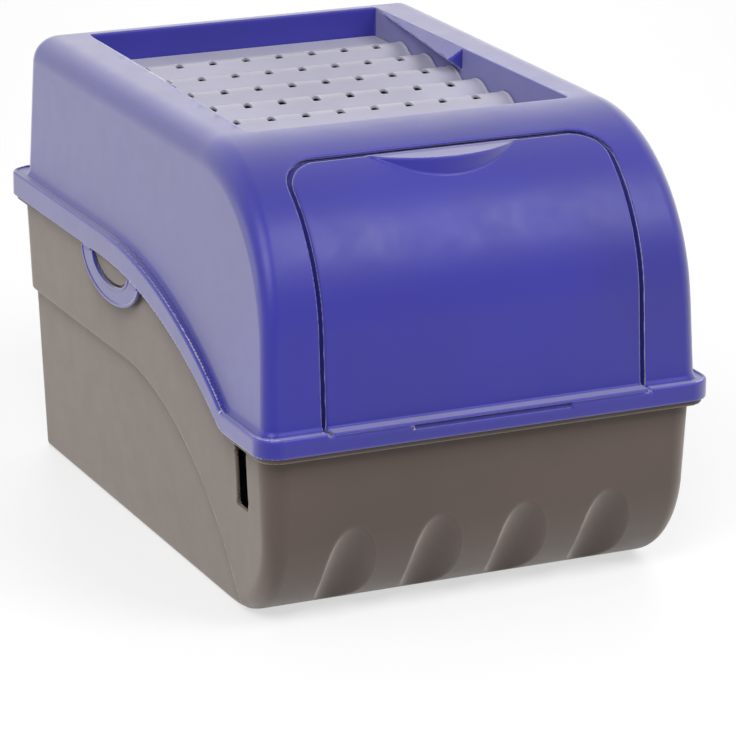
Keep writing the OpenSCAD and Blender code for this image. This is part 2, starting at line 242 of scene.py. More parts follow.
SCOOP_COUNT = 4
SCOOP_PITCH = 53.2
SCOOP_R = 17.0
SCOOP_H = 60.0
SCOOP_SLANT = math.radians(34)
SCOOP_Y = TOE_Y - math.sqrt(TOE_R ** 2 - (TOE_R - SCOOP_H) ** 2)
SCOOP_EDGE_R = 0.7
SIDE_SLOT_Y = -153.0
SIDE_SLOT_HALF_W = 7.5
SIDE_SLOT_Z = (67.0, 105.5)
SIDE_SLOT_FROM = 110.0
SIDE_SLOT_CORNER_R = 1.0
SIDE_SLOT_EDGE_R = 0.6

# How the surfaces are sampled and settled, lengths in millimetres and shares of a cell
FINE_REACH = 5.0
FINE_CELL = 0.4
LAYERS_AT_ONCE = 12
CELLS_BEFORE = 1.5
CELLS_AFTER = 2
STEP_REACH = 0.02
NORMAL_REACH = 0.05
LEAST_STEEP = 0.2
LONGEST_STEP = 0.6
NEAR_ZERO = 1e-9
LEAST_SLOPE = 1e-6
BENT_COS = math.cos(math.radians(4))
BENT_RINGS = 2

# Colours
INDIGO = (0.009, 0.007, 0.26)
# The paler edge colours paint convex edges lighter: partly wear, partly a painted highlight along the edges.
INDIGO_WEAR_AND_HIGHLIGHT = (0.05, 0.045, 0.4)
INDIGO_SHEEN = (0.97, 0.95, 1.0)
LAVENDER = (0.40, 0.39, 0.48)
LAVENDER_WEAR_AND_HIGHLIGHT = (0.55, 0.54, 0.62)
TAUPE = (0.079, 0.054, 0.044)
TAUPE_WEAR_AND_HIGHLIGHT = (0.16, 0.13, 0.11)
TAUPE_SHEEN = (1.0, 0.9, 0.82)
WHITE = (1, 1, 1, 1)

# Floor, in metres, and world
FLOOR_RADIUS = 6.0
FLOOR_SIDES = 64
FLOOR_COLOUR = (0.35, 0.35, 0.353, 1)
FLOOR_ROUGHNESS = 0.6
FLOOR_LIFT = 0.62
AMBIENT = 0.28

# Camera at the photograph's view, found from the bin's own straight edges, in metres and pixels
CAMERA_AZIMUTH = math.radians(-24.88)
CAMERA_ELEVATION = math.radians(17.82)
CAMERA_ROLL = math.radians(0.39)
CAMERA_DISTANCE = 2.4281
CAMERA_AIM = Vector((0.01546, 0, 0.08454))
CAMERA_FOCAL_PX = 4043.45
PHOTO_PX = 736
SENSOR_MM = 36


def smooth_max(a, b, soft):
    """The larger of two values, blended over a range of about soft."""
    share = np.clip(0.5 + 0.5 * (a - b) / soft, 0, 1)
    return b + (a - b) * share + soft * share * (1 - share)


def round_max(a, b, radius):
    """Overlap of two solids whose common edge is rounded."""
    beyond = np.hypot(np.maximum(a + radius, 0), np.maximum(b + radius, 0))
    return np.minimum(np.maximum(a, b), -radius) + beyond


def round_min(a, b, radius):
    """Union of two solids whose common corner is filled by a fillet."""
    return -round_max(-a, -b, radius)


def smooth_step(value, low, high):
    """Zero below low, one above high, and a smooth rise between them."""
    share = np.clip((value - low) / (high - low), 0, 1)
    return share * share * (3 - 2 * share)


def rounded_plan(x, y, half_x, half_y, radius):
    """Distance to an upright box with rounded corners, seen in plan."""
    u = np.abs(x) - half_x + radius
    v = np.abs(y) - half_y + radius
    return np.minimum(np.maximum(u, v), 0) + np.hypot(np.maximum(u, 0), np.maximum(v, 0)) - radius


def rim_line(y, low, high):
    """Height of a line that falls from back to front round the rim, and the cosine of its slope."""
    drop = high - low
    radius = ((FALL_START - FALL_END) ** 2 + drop ** 2) / (2 * drop)
    run = np.clip(FALL_START - y, 0, FALL_LIMIT * radius)
    rise = np.sqrt(radius ** 2 - run ** 2)
    arc = high - radius + rise
    slope = np.where(arc > low, run / rise, 0)
    return smooth_max(arc, low, KINK_SOFT), 1 / np.sqrt(1 + slope ** 2)


def hood_outside(x, y, z):
    """Distance to the hood's outer form, which leans in and curves from the front into the top."""
    c, s = math.cos(LEAN_ANGLE), math.sin(LEAN_ANGLE)
    dy, dz = y - CURVE_Y, z - CURVE_Z
    front = dz * s - dy * c - CURVE_R
    in_curve = (dy * s + dz * c > 0) & (dy < 0)
    profile = np.where(in_curve, np.hypot(dy, dz) - CURVE_R, np.maximum(front, z - TOP))
    back = y - BACK_FOOT + BACK_LEAN * (z - LEDGE_BACK)
    side = np.abs(x) - SIDE_FOOT + SIDE_LEAN * (z - LEDGE_FRONT)
    angle = np.clip(np.arctan2(dz, -dy) / (math.pi / 2), 0, 1)
    at_back = np.clip((z - HOOD_FOOT) / (TOP - HOOD_EDGE_R - HOOD_FOOT), 0, 1)
    rounding = np.where(y < 0, angle, at_back)
    corner_r = HOOD_FOOT_R + (HOOD_EDGE_R - HOOD_FOOT_R) * rounding
    return round_max(round_max(profile, back, HOOD_EDGE_R), side, corner_r)


def down_front(y, z):
    """Way down the front's surface, measured from the flap's top edge."""
    c, s = math.cos(LEAN_ANGLE), math.sin(LEAN_ANGLE)
    dy, dz = y - CURVE_Y, z - CURVE_Z
    above = dy * s + dz * c
    on_curve = CURVE_R * (FLAP_TOP_ANGLE - np.arctan2(dz, -dy))
    return np.where(above > 0, on_curve, CURVE_R * (FLAP_TOP_ANGLE - LEAN_ANGLE) - above)


def well_half(y):
    """Half width of the well, which is narrower at the back."""
    share = (y - WELL_FRONT) / (WELL_BACK - WELL_FRONT)
    return WELL_HALF_FRONT + (WELL_HALF_BACK - WELL_HALF_FRONT) * share


def well_plan(x, y):
    """Distance to the well's upright walls, seen in plan."""
    return round_max(np.abs(x) - well_half(y), np.maximum(WELL_FRONT - y, y - WELL_BACK), WELL_CORNER_R)


def plane(points, inside, x, y, z):
    """Distance to the plane through three points, negative on the side of a fourth."""
    a, b, c = (np.array(p, float) for p in points)
    normal = np.cross(b - a, c - a)
    normal /= np.linalg.norm(normal)
    if normal @ (np.array(inside) - a) > 0:
        normal = -normal
    return normal[0] * (x - a[0]) + normal[1] * (y - a[1]) + normal[2] * (z - a[2])


def retaining_ramp(x, y, z):
    """Ramp that slopes from the well's top edge over the panel's side edge."""
    low = VALLEY_Z + RIDGE_H + SEAT_GAP
    top = TOP - RAMP_SINK
    end_x = well_half(RAMP_END)
    back = (WELL_HALF_BACK, WELL_BACK, top)
    high_end = (end_x, RAMP_END, top)
    toe = (end_x - RAMP_REACH, RAMP_END, top - RAMP_DROP)
    foot = (end_x, RAMP_END, low)
    middle = np.mean([back, high_end, toe, foot], axis=0)
    side = np.abs(x)
    sloped = plane((back, high_end, toe), middle, side, y, z)
    under = plane((back, toe, foot), middle, side, y, z)
    ends = np.maximum(round_max(sloped, RAMP_END - y, RAMP_EDGE_R),
                      np.maximum(y - WELL_BACK - RAMP_IN_WALL, z - top))
    return np.maximum(ends, np.maximum(under, side - end_x - HOOD_WALL))


def lid_hood(x, y, z):
    """The hood with its skirt, channel, well, ramps, opening for the flap and flap stop."""
    side = np.abs(x)
    outside = hood_outside(x, y, z)
    ledge, ledge_slope = rim_line(y, LEDGE_FRONT, LEDGE_BACK)
    skirt_low, skirt_slope = rim_line(y, SKIRT_FRONT, SKIRT_BACK)
    above = (z - ledge) * ledge_slope
    plan = rounded_plan(x, y, HALF_W, HALF_D, RIM_CORNER_R)
    skirt = round_max(round_max(plan, above, SKIRT_EDGE_R), (skirt_low - z) * skirt_slope, SKIRT_FOOT_R)
    dome = np.maximum(outside, -above - LEDGE_T)
    solid = round_min(dome, skirt, WALL_FOOT_R)
    channel = np.maximum(np.maximum(CHANNEL_IN - outside, plan + CHANNEL_OUT), -above - CHANNEL_DEPTH)
    solid = round_max(solid, -channel, CHANNEL_EDGE_R)
    solid = round_max(solid, -np.maximum(plan + SKIRT_WALL, above + LEDGE_T), HOOD_INNER_R)
    solid = round_max(solid, -outside - HOOD_WALL, HOOD_INNER_R)
    well = well_plan(x, y)
    tray = np.maximum(np.maximum(well - HOOD_WALL, SEAT_Z - SEAT_T - z), outside)
    solid = np.minimum(solid, tray)
    solid = round_max(solid, -np.maximum(well, SEAT_Z - z), WELL_EDGE_R)
    solid = np.maximum(solid, -well - SEAT_W)
    solid = np.minimum(solid, retaining_ramp(x, y, z))
    depth = -outside
    way = down_front(y, z)
    opening = round_max(side - FLAP_HALF - FLAP_GAP, -FLAP_GAP - way, FLAP_CORNER_R + FLAP_GAP)
    stop = np.maximum(np.maximum(HOOD_WALL - STOP_OVERLAP - depth, depth - GROOVE_DEPTH - STOP_T),
                      np.maximum(opening - HOOD_WALL - GROOVE_DEPTH * UNDERCUT, -opening - STOP_W))
    solid = np.minimum(solid, np.maximum(stop, -above - LEDGE_T))
    edge_r = OPENING_EDGE_R + OPENING_EDGE_MORE * smooth_step(-way, -OPENING_EDGE_RUN, 0)
    widened = opening - UNDERCUT * np.clip(depth, 0, GROOVE_DEPTH)
    cut = np.maximum(np.maximum(widened, RECESS_FLOOR - z), depth - GROOVE_DEPTH)
    solid = round_max(solid, -cut, edge_r)
    slot = np.maximum(np.maximum(side - HINGE_SLOT_HALF, y + HALF_D - HINGE_SLOT_DEPTH),
                      np.abs(z - LIP_LOW + HINGE_SLOT_H / 2) - HINGE_SLOT_H / 2)
    return np.maximum(solid, -slot)


def front_flap(x, y, z):
    """The flap's curved panel with its lip at the foot and its grip near the top."""
    side = np.abs(x)
    outside = hood_outside(x, y, z)
    way = down_front(y, z)
    plan = round_max(side - FLAP_HALF, -way, FLAP_CORNER_R)
    face = round_max(outside, plan, FLAP_EDGE_R)
    lip = round_max(np.maximum(-HALF_D - y, y + FRONT_FOOT - HOOD_WALL), z - LIP_TOP, LIP_EDGE_R)
    lip = round_max(lip, side - FLAP_HALF, LIP_END_R)
    solid = round_min(face, lip, LIP_FOOT_R)
    bow = np.hypot(x, y - GRIP_FOOT_Y + GRIP_REACH - GRIP_R) - GRIP_R
    grip = np.maximum(round_max(bow, z - GRIP_Z, GRIP_EDGE_R), GRIP_Z - GRIP_H - z)
    grip = np.maximum(grip, np.maximum(-outside - GRIP_IN_FACE, y - GRIP_FOOT_Y - GRIP_BEHIND))
    solid = round_min(solid, grip, GRIP_FOOT_R)
    solid = round_max(solid, -outside - HOOD_WALL, FLAP_INNER_R)
    return np.maximum(solid, LIP_LOW - z)


def from_nearest(place, count, pitch):
    """Place as seen from the nearest of count middles, which lie a pitch apart either side of zero."""
    nearest = np.clip(np.round(place / pitch - 0.5), -count / 2, count / 2 - 1)
    return place - (nearest + 0.5) * pitch


def vent_panel(x, y, z):
    """The corrugated sheet with a row of slots behind each ridge and a flat bar at both ends."""
    along = from_nearest(y - RIDGE_MIDDLE, RIDGE_COUNT, RIDGE_PITCH)
    radius = (RIDGE_HALF ** 2 + RIDGE_H ** 2) / (2 * RIDGE_H)
    ridge = np.hypot(along, z - VALLEY_Z - RIDGE_H + radius) - radius
    face = round_min(z - VALLEY_Z, ridge, RIDGE_FOOT_R)
    ends = np.abs(y - RIDGE_MIDDLE) - RIDGE_COUNT * RIDGE_PITCH / 2
    bars = np.maximum(z - VALLEY_Z - END_BAR_H, -ends)
    plan = well_plan(x, y) + PANEL_GAP
    rim = PANEL_RIM_H * smooth_step(plan, -PANEL_RIM_IN, -PANEL_RIM_OUT) * (ends < 0)
    sheet = round_max(face - rim, plan, PANEL_EDGE_R)
    sheet = np.maximum(sheet, -face - SHEET_T)
    bars = round_max(np.maximum(bars, VALLEY_Z - SHEET_T - z), plan, END_BAR_EDGE_R)
    sheet = round_min(sheet, bars, END_BAR_FOOT_R)
    across = np.abs(from_nearest(x, SLOT_COUNT, SLOT_PITCH)) - SLOT_HALF_W
    slot = round_max(across, np.abs(along - SLOT_BEHIND) - SLOT_HALF_L, SLOT_CORNER_R)
    return round_max(sheet, -slot, SLOT_EDGE_R)


def ellipse(u, v, half_u, half_v):
    """Near distance to an ellipse."""
    scale = np.hypot(u / half_u, v / half_v)
    slope = np.hypot(u / half_u ** 2, v / half_v ** 2)
    return scale * (scale - 1) / np.maximum(slope, LEAST_SLOPE)


def side_clip(x, y, z):
    """Clip on the side that faces +X, beside the skirt's lower edge."""
    skirt_low, slope = rim_line(y, SKIRT_FRONT, SKIRT_BACK)
    outer = ellipse(y - CLIP_MIDDLE, z - SKIRT_BACK, CLIP_HALF_L, CLIP_DROP)
    inner = ellipse(y - CLIP_MIDDLE, z - SKIRT_BACK, CLIP_HALF_L - STRAP_W * STRAP_END, CLIP_DROP - STRAP_W)
    strap = round_max(outer, -inner, STRAP_EDGE_R)
    strap = round_max(strap, (z - skirt_low) * slope + CLIP_GAP, STRAP_TOP_R)
    hollow = STRAP_HOLLOW * smooth_step(np.minimum(-outer, inner), STRAP_BORDER, STRAP_BORDER_END)
    face = x - CLIP_OUTER + hollow
    return np.maximum(round_max(strap, face, STRAP_FACE_R), CLIP_OUTER - CLIP_T - x)


def mirrored_clip(x, y, z):
    """Clip on the side that faces -X."""
    return side_clip(-x, y, z)


def tub_form(x, y, z, inset):
    """Distance to the tub's form with its raised band, rounded toe and scoops."""
    shrink = TUB_LEAN * (TUB_TOP - z)
    level = BAND_LOW - z
    fall = BAND_FALL_R - np.hypot(y - BAND_FALL_START, z - BAND_LOW + BAND_FALL_R)
    under = np.where(y > BAND_FALL_START, level, fall)
    lower = smooth_step(under, 0, BAND_RUN)
    less = shrink + inset + BAND_STEP * lower
    corner_r = np.maximum(TUB_CORNER_R - less, TUB_LEAST_R)
    rear = y - TUB_BACK + shrink + inset + BAND_BACK_STEP * lower
    walls = round_max(np.abs(x) - TUB_HALF_W + less, rear, corner_r)
    toe = np.hypot(np.minimum(y - TOE_Y, 0), np.minimum(z - TOE_R, 0)) - TOE_R
    toe = np.maximum(np.where(z < TOE_R, toe, -z) + inset, less - y - TUB_FRONT)
    at_front = smooth_step(-y, -TOE_Y - TOE_BLEND_BACK, -TOE_Y + TOE_BLEND_FRONT)
    end_r = FLOOR_EDGE_R + (corner_r - FLOOR_EDGE_R) * at_front
    body = round_max(walls, toe, end_r)
    off = from_nearest(x, SCOOP_COUNT, SCOOP_PITCH)
    c, s = math.cos(SCOOP_SLANT), math.sin(SCOOP_SLANT)
    over = (y - SCOOP_Y) * c + (z - SCOOP_H) * s + SCOOP_R
    scoop = np.hypot(off, over) - SCOOP_R - inset
    return round_max(body, -scoop, SCOOP_EDGE_R)


def tub(x, y, z):
    """The hollow tub with its rim bead, catch nubs and side slots."""
    side = np.abs(x)
    rim, slope = rim_line(y, LEDGE_FRONT - LEDGE_T - SEAT_GAP, LEDGE_BACK - LEDGE_T - SEAT_GAP)
    bead_low, low_slope = rim_line(y, SKIRT_FRONT - BEAD_SHOW, SKIRT_BACK - BEAD_SHOW)
    above = (z - rim) * slope
    plan = rounded_plan(x, y, BEAD_HALF_W, BEAD_HALF_D, RIM_CORNER_R - SKIRT_WALL - BEAD_GAP)
    bead = round_max(plan, (bead_low - z) * low_slope, BEAD_EDGE_R)
    solid = round_min(tub_form(x, y, z, 0), bead, BEAD_FOOT_R)
    nub = ellipse(y - CLIP_MIDDLE, z - SKIRT_BACK, CLIP_HALF_L - (STRAP_W + NUB_GAP) * STRAP_END,
                  CLIP_DROP - STRAP_W - NUB_GAP)
    nub = round_max(np.maximum(nub, TUB_HALF_W - TUB_WALL - side),
                    side - CLIP_OUTER + CLIP_T + SEAT_GAP, NUB_EDGE_R)
    solid = round_min(solid, nub, NUB_EDGE_R)
    solid = round_max(solid, above, TUB_RIM_R)
    inside = round_max(tub_form(x, y, z, TUB_WALL), FLOOR_T - z, FLOOR_INNER_R)
    solid = round_max(solid, -inside, TUB_RIM_INNER_R)
    middle = sum(SIDE_SLOT_Z) / 2
    across = np.abs(y - SIDE_SLOT_Y) - SIDE_SLOT_HALF_W
    slot = round_max(across, np.abs(z - middle) - (SIDE_SLOT_Z[1] - middle), SIDE_SLOT_CORNER_R)
    return round_max(solid, -np.maximum(slot, SIDE_SLOT_FROM - side), SIDE_SLOT_EDGE_R)


# Corners and edges of a cell of the sampled grid
CORNERS = [(i, j, k) for i in (0, 1) for j in (0, 1) for k in (0, 1)]
EDGES = [(a, b) for a in CORNERS for b in CORNERS
         if sum(b) - sum(a) == 1 and all(q >= p for p, q in zip(a, b))]


def slope_of(field, points, reach):
    """Gradient of a field at points, by differences."""
    parts = []
    for axis in range(3):
        shift = np.zeros(3)
        shift[axis] = reach
        parts.append(field(*(points + shift).T) - field(*(points - shift).T))
    return np.stack(parts, 1) / (2 * reach)


def onto_surface(field, points, cell, rounds):
    """Points moved along the gradient until the field is zero there."""
    for _ in range(rounds):
        value = field(*points.T)
        slope = slope_of(field, points, STEP_REACH)
        steep = np.maximum((slope ** 2).sum(1), LEAST_STEEP)
        move = -slope * (value / steep)[:, None]
        length = np.linalg.norm(move, axis=1, keepdims=True)
        points = points + move * np.minimum(1, LONGEST_STEP * cell / np.maximum(length, NEAR_ZERO))
    return points


def sampled(field, low, high, cell, mirrored, fine):
    """Field values on a grid, and the grid's three lists of places, closer together round x = fine."""
    x, y, z = (np.arange(low[a] - cell * CELLS_BEFORE, high[a] + cell * CELLS_AFTER, cell) for a in range(3))
    if mirrored:
        x = (np.arange(math.ceil(high[0] / cell) + CELLS_AFTER) + 0.5) * cell
    if fine:
        close = np.arange(fine - FINE_REACH, fine + FINE_REACH, FINE_CELL)
        x = np.sort(np.concatenate([x[np.abs(x - fine) > FINE_REACH + FINE_CELL / 2], close]))
    values = np.empty((len(x), len(y), len(z)), np.float32)
    for start in range(0, len(x), LAYERS_AT_ONCE):
        layers = slice(start, start + LAYERS_AT_ONCE)
        values[layers] = field(x[layers, None, None], y[None, :, None], z[None, None, :])
    if mirrored:
        values = np.concatenate([values[::-1], values])
        x = np.concatenate([-x[::-1], x])
    return values, (x, y, z)


def net(values, places):
    """Points and four-sided faces of the surface where the values change sign."""
    inside = values < 0
    shape = [n - 1 for n in values.shape]
    count = np.zeros(shape, np.uint8)
    for i, j, k in CORNERS:
        count += inside[i:i + shape[0], j:j + shape[1], k:k + shape[2]]
    active = (count > 0) & (count < 8)
    cells = np.argwhere(active)
    number = np.full(shape, -1, np.int64)
    number[active] = np.arange(len(cells))
    total = np.zeros((len(cells), 3))
    crossings = np.zeros(len(cells))
    for a, b in EDGES:
        at_a = values[tuple((cells + a).T)].astype(float)
        at_b = values[tuple((cells + b).T)].astype(float)
        crossed = (at_a < 0) != (at_b < 0)
        share = at_a[crossed] / (at_a[crossed] - at_b[crossed])
        total[crossed] += np.array(a) + share[:, None] * (np.array(b) - np.array(a))
        crossings[crossed] += 1
    spots = cells + total / crossings[:, None]
    points = np.stack([np.interp(spots[:, a], np.arange(len(places[a])), places[a]) for a in range(3)], 1)
    faces = []
    for axis in range(3):
        u, v = (axis + 1) % 3, (axis + 2) % 3
        first = [slice(None)] * 3
        second = [slice(None)] * 3
        first[axis], second[axis] = slice(None, -1), slice(1, None)
        starts, ends = inside[tuple(first)], inside[tuple(second)]
        change = np.argwhere(starts != ends)
        at_u, at_v = change[:, u], change[:, v]
        change = change[(at_u > 0) & (at_v > 0) & (at_u < shape[u]) & (at_v < shape[v])]
        ring = []
        for du, dv in ((-1, -1), (0, -1), (0, 0), (-1, 0)):
            cell_at = change.copy()
            cell_at[:, u] += du
            cell_at[:, v] += dv
            ring.append(number[tuple(cell_at.T)])
        quads = np.stack(ring, 1)
        outward = starts[tuple(change.T)]
        quads[~outward] = quads[~outward][:, ::-1]
        faces.append(quads)
    return points, np.concatenate(faces)


def new_mesh(name, points, faces):
    """Mesh of points in millimetres and faces that all have as many sides."""
    mesh = bpy.data.meshes.new(name)
    sides = faces.shape[1]
    mesh.vertices.add(len(points))
    mesh.vertices.foreach_set("co", (points * MM).ravel())
    mesh.loops.add(faces.size)
    mesh.loops.foreach_set("vertex_index", faces.ravel().astype(np.int32))
    mesh.polygons.add(len(faces))
    mesh.polygons.foreach_set("loop_start", np.arange(0, faces.size, sides, dtype=np.int32))
    mesh.update(calc_edges=True)
    mesh.validate()
    return mesh


def set_normals(mesh, normals):
    mesh.polygons.foreach_set("use_smooth", np.ones(len(mesh.polygons), bool))
    mesh.normals_split_custom_set_from_vertices(normals.tolist())


def link(made):
    bpy.context.scene.collection.objects.link(made)


def unit(vectors):
    return vectors / np.maximum(np.linalg.norm(vectors, axis=1, keepdims=True), NEAR_ZERO)


def thinned(piece, bent, faces, keep):
    """Mesh of a piece that keeps its bent faces and about a share of the others."""
    for _ in range(BENT_RINGS):
        bent[faces[bent[faces].any(1)].ravel()] = True
    group = piece.vertex_groups.new(name="flat")
    group.add(np.flatnonzero(~bent).tolist(), 1.0, "REPLACE")
    group.add(np.flatnonzero(bent).tolist(), 0.0, "REPLACE")
    thin = piece.modifiers.new("thin", "DECIMATE")
    thin.vertex_group = "flat"
    thin.vertex_group_factor = 100
    held = bent[faces].all(1).mean()
    thin.ratio = held + (1 - held) * keep
    graph = bpy.context.evaluated_depsgraph_get()
    mesh = bpy.data.meshes.new_from_object(piece.evaluated_get(graph))
    piece.modifiers.clear()
    piece.vertex_groups.clear()
    return mesh


def moulded(name, field, low, high, cell, keep, mirrored=True, fine=0):
    """A piece whose surface is a field's zero, dense at its edges and thinned out where it is flat."""
    values, places = sampled(field, low, high, cell, mirrored, fine)
    points, faces = net(values, places)
    points = onto_surface(field, points, cell, rounds=3)
    normals = unit(slope_of(field, points, NORMAL_REACH))
    piece = bpy.data.objects.new(name, new_mesh(name, points, faces))
    link(piece)
    likeness = np.min([np.einsum("ij,ij->i", normals[faces[:, a]], normals[faces[:, (a + 1) % 4]])
                       for a in range(4)], axis=0)
    bent = np.zeros(len(points), bool)
    bent[faces[likeness < BENT_COS].ravel()] = True
    piece.data = thinned(piece, bent, faces, keep)
    points = np.empty(len(piece.data.vertices) * 3, np.float32)
    piece.data.vertices.foreach_get("co", points)
    points = onto_surface(field, points.reshape(-1, 3).astype(float) / MM, cell, rounds=2)
    piece.data.vertices.foreach_set("co", (points * MM).ravel())
    normals = unit(slope_of(field, points, NORMAL_REACH))
    set_normals(piece.data, normals)
    print(name, "faces", len(piece.data.polygons))
    return piece


def plastic(name, colour, wear_and_highlight, roughness, sheen, sheen_weight):
    """Moulded polypropylene: colour drift, fine grain, uneven satin, edges painted paler as part wear and
    part painted highlight, and a pale grazing sheen.
    """
    material = bpy.data.materials.new(name)
    material.use_nodes = True
    tree = material.node_tree
    tree.nodes.clear()

    def node(kind, **values):
        made = tree.nodes.new(kind)
        for key, value in values.items():
            setattr(made, key, value)
        return made

    def noise(scale, detail, rough):
        made = node("ShaderNodeTexNoise")
        made.inputs["Scale"].default_value = scale
        made.inputs["Detail"].default_value = detail
        made.inputs["Roughness"].default_value = rough
        tree.links.new(place.outputs["Object"], made.inputs["Vector"])
        return made

    def between(source, low, high, to_low, to_high):
        made = node("ShaderNodeMapRange")
        made.inputs["From Min"].default_value = low
        made.inputs["From Max"].default_value = high
        made.inputs["To Min"].default_value = to_low
        made.inputs["To Max"].default_value = to_high
        tree.links.new(source, made.inputs["Value"])
        return made.outputs["Result"]

    def mixed(share, a, b):
        made = node("ShaderNodeMix", data_type="RGBA")
        tree.links.new(share, made.inputs["Factor"])
        for socket, value in ((made.inputs["A"], a), (made.inputs["B"], b)):
            if isinstance(value, tuple):
                socket.default_value = (*value, 1)
            else:
                tree.links.new(value, socket)
        return made.outputs["Result"]

    place = node("ShaderNodeTexCoord")
    shader = node("ShaderNodeBsdfPrincipled")
    out = node("ShaderNodeOutputMaterial")
    tree.links.new(shader.outputs["BSDF"], out.inputs["Surface"])
    drift = noise(scale=9, detail=3, rough=0.5)
    grain = noise(scale=1500, detail=2, rough=0.5)
    scuffs = noise(scale=60, detail=5, rough=0.65)
    darker = tuple(0.9 * c for c in colour)
    lighter = tuple(1.08 * c for c in colour)
    drifted = between(drift.outputs["Fac"], low=0.35, high=0.65, to_low=0, to_high=1)
    # Convex edges, found by pointiness, are painted paler towards the edge colour: partly wear, partly a
    # painted highlight.
    geometry = node("ShaderNodeNewGeometry")
    edge = between(geometry.outputs["Pointiness"], low=0.505, high=0.56, to_low=0, to_high=0.5)
    tree.links.new(mixed(edge, mixed(drifted, darker, lighter), wear_and_highlight), shader.inputs["Base Color"])
    satin = between(scuffs.outputs["Fac"], low=0.3, high=0.7,
                    to_low=roughness - 0.05, to_high=roughness + 0.06)
    tree.links.new(satin, shader.inputs["Roughness"])
    bump = node("ShaderNodeBump")
    bump.inputs["Strength"].default_value = 0.12
    bump.inputs["Distance"].default_value = 0.0002
    tree.links.new(grain.outputs["Fac"], bump.inputs["Height"])
    tree.links.new(bump.outputs["Normal"], shader.inputs["Normal"])
    shader.inputs["IOR"].default_value = 1.4
    shader.inputs["Sheen Weight"].default_value = sheen_weight
    shader.inputs["Sheen Roughness"].default_value = 0.5
    shader.inputs["Sheen Tint"].default_value = (*sheen, 1)
    return material


indigo = plastic("indigo_plastic", INDIGO, INDIGO_WEAR_AND_HIGHLIGHT, roughness=0.4, sheen=INDIGO_SHEEN, sheen_weight=1.0)
lavender = plastic("lavender_plastic", LAVENDER, LAVENDER_WEAR_AND_HIGHLIGHT, roughness=0.4, sheen=INDIGO_SHEEN,
                   sheen_weight=0.2)
taupe = plastic("taupe_plastic", TAUPE, TAUPE_WEAR_AND_HIGHLIGHT, roughness=0.42, sheen=TAUPE_SHEEN, sheen_weight=0.6)


def dress(piece, material, slot, body, *nodes):
    """Material and body of a piece, and the nodes that it stands for, which are hidden; the slot argument is
    not used.
    """
    piece.data.materials.clear()
    piece.data.materials.append(material)
    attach(piece, body)
    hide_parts(*nodes)


hood = moulded("hood", lid_hood, HOOD_LOW, HOOD_HIGH, cell=1.25, keep=0.06, fine=FLAP_HALF + FLAP_GAP / 2)
dress(hood, indigo, "indigo_plastic", "lid", "lid_hood")
flap = moulded("flap", front_flap, FLAP_LOW, FLAP_HIGH, cell=1.0, keep=0.06, fine=FLAP_HALF)
dress(flap, indigo, "indigo_plastic", "flap", "front_flap")
panel = moulded("panel", vent_panel, *box_of("vent_panel"), cell=0.8, keep=0.1)
dress(panel, lavender, "lavender_plastic", "lid", "vent_panel")
bin_tub = moulded("bin_tub", tub, *box_of("tub"), cell=1.35, keep=0.06)
dress(bin_tub, taupe, "taupe_plastic", "tub", "tub")
clip_r = moulded("clip_r", side_clip, *box_of("side_clip_right"), cell=0.5, keep=0.3, mirrored=False)
dress(clip_r, indigo, "indigo_plastic", "clip_right", "side_clip_right")
clip_l = moulded("clip_l", mirrored_clip, *box_of("side_clip_left"), cell=0.5, keep=0.3, mirrored=False)
dress(clip_l, indigo, "indigo_plastic", "clip_left", "side_clip_left")


def film_strip(name, start, along, across, length):
    """An indigo film that thins at its middle, in rows from one side of its hinge to the other."""
    rows = 16
    columns = 12
    up = np.array((0, 0, 1))
    points = []
    for face in (0, 1):
        for r in range(rows + 1):
            for c in range(columns + 1):
                waist = 1 - FILM_WAIST * math.sin(math.pi * r / rows)
                sink = (face - 0.5) * FILM_T * waist
                points.append(np.array(start) + np.array(along) * length * c / columns
                              + up * FILM_W * (r / rows - 0.5) + np.array(across) * sink)
    size = (rows + 1) * (columns + 1)

    def at(face, r, c):
        return face * size + r * (columns + 1) + c

    faces = []
    for r in range(rows):
        for c in range(columns):
            for face, order in ((0, (0, 1, 2, 3)), (1, (3, 2, 1, 0))):
                ring = [at(face, r, c), at(face, r, c + 1), at(face, r + 1, c + 1), at(face, r + 1, c)]
                faces.append([ring[i] for i in order])
    rim = [(0, c) for c in range(columns)] + [(r, columns) for r in range(rows)]
    rim += [(rows, c) for c in range(columns, 0, -1)] + [(r, 0) for r in range(rows, 0, -1)]
    for (r1, c1), (r2, c2) in zip(rim, rim[1:] + rim[:1]):
        faces.append([at(0, r2, c2), at(0, r1, c1), at(1, r1, c1), at(1, r2, c2)])
    piece = bpy.data.objects.new(name, new_mesh(name, np.array(points), np.array(faces)))
    link(piece)
    piece.data.materials.append(indigo)
    return piece


def flap_films():
    """The two films under the flap's lip, one at each side of the slot."""
    film_y = -HALF_D + FILM_T / 2 + FILM_SINK
    film_z = (LIP_LOW + RECESS_FLOOR) / 2
    for name, start_x in (("flap_film_r", HINGE_SLOT_HALF), ("flap_film_l", -FLAP_HALF)):
        film = film_strip(name, (start_x, film_y, film_z), (1, 0, 0), (0, 1, 0), FLAP_HALF - HINGE_SLOT_HALF)
        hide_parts("flap_hinge_right" if start_x > 0 else "flap_hinge_left")
        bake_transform(film)


def clip_films(side, body):
    """The two films that hang a clip from the skirt, at its back and its front."""
    x = side * (CLIP_OUTER - FILM_T / 2)
    for end, start_y in (("back", CLIP_MIDDLE + CLIP_HALF_L - CLIP_FILM_IN - CLIP_FILM_L),
                         ("front", CLIP_MIDDLE - CLIP_HALF_L + CLIP_FILM_IN)):
        low, high = (float(rim_line(np.array(start_y + at), SKIRT_FRONT, SKIRT_BACK)[0])
                     for at in (0, CLIP_FILM_L))
        film = film_strip(f"{body}_film_{end}", (x, start_y, low - CLIP_GAP / 2),
                          (0, 1, (high - low) / CLIP_FILM_L), (side, 0, 0), CLIP_FILM_L)
        if end == "back":
            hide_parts("clip_hinge_right" if side > 0 else "clip_hinge_left")
        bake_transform(film)


flap_films()
clip_films(1, "clip_right")
clip_films(-1, "clip_left")


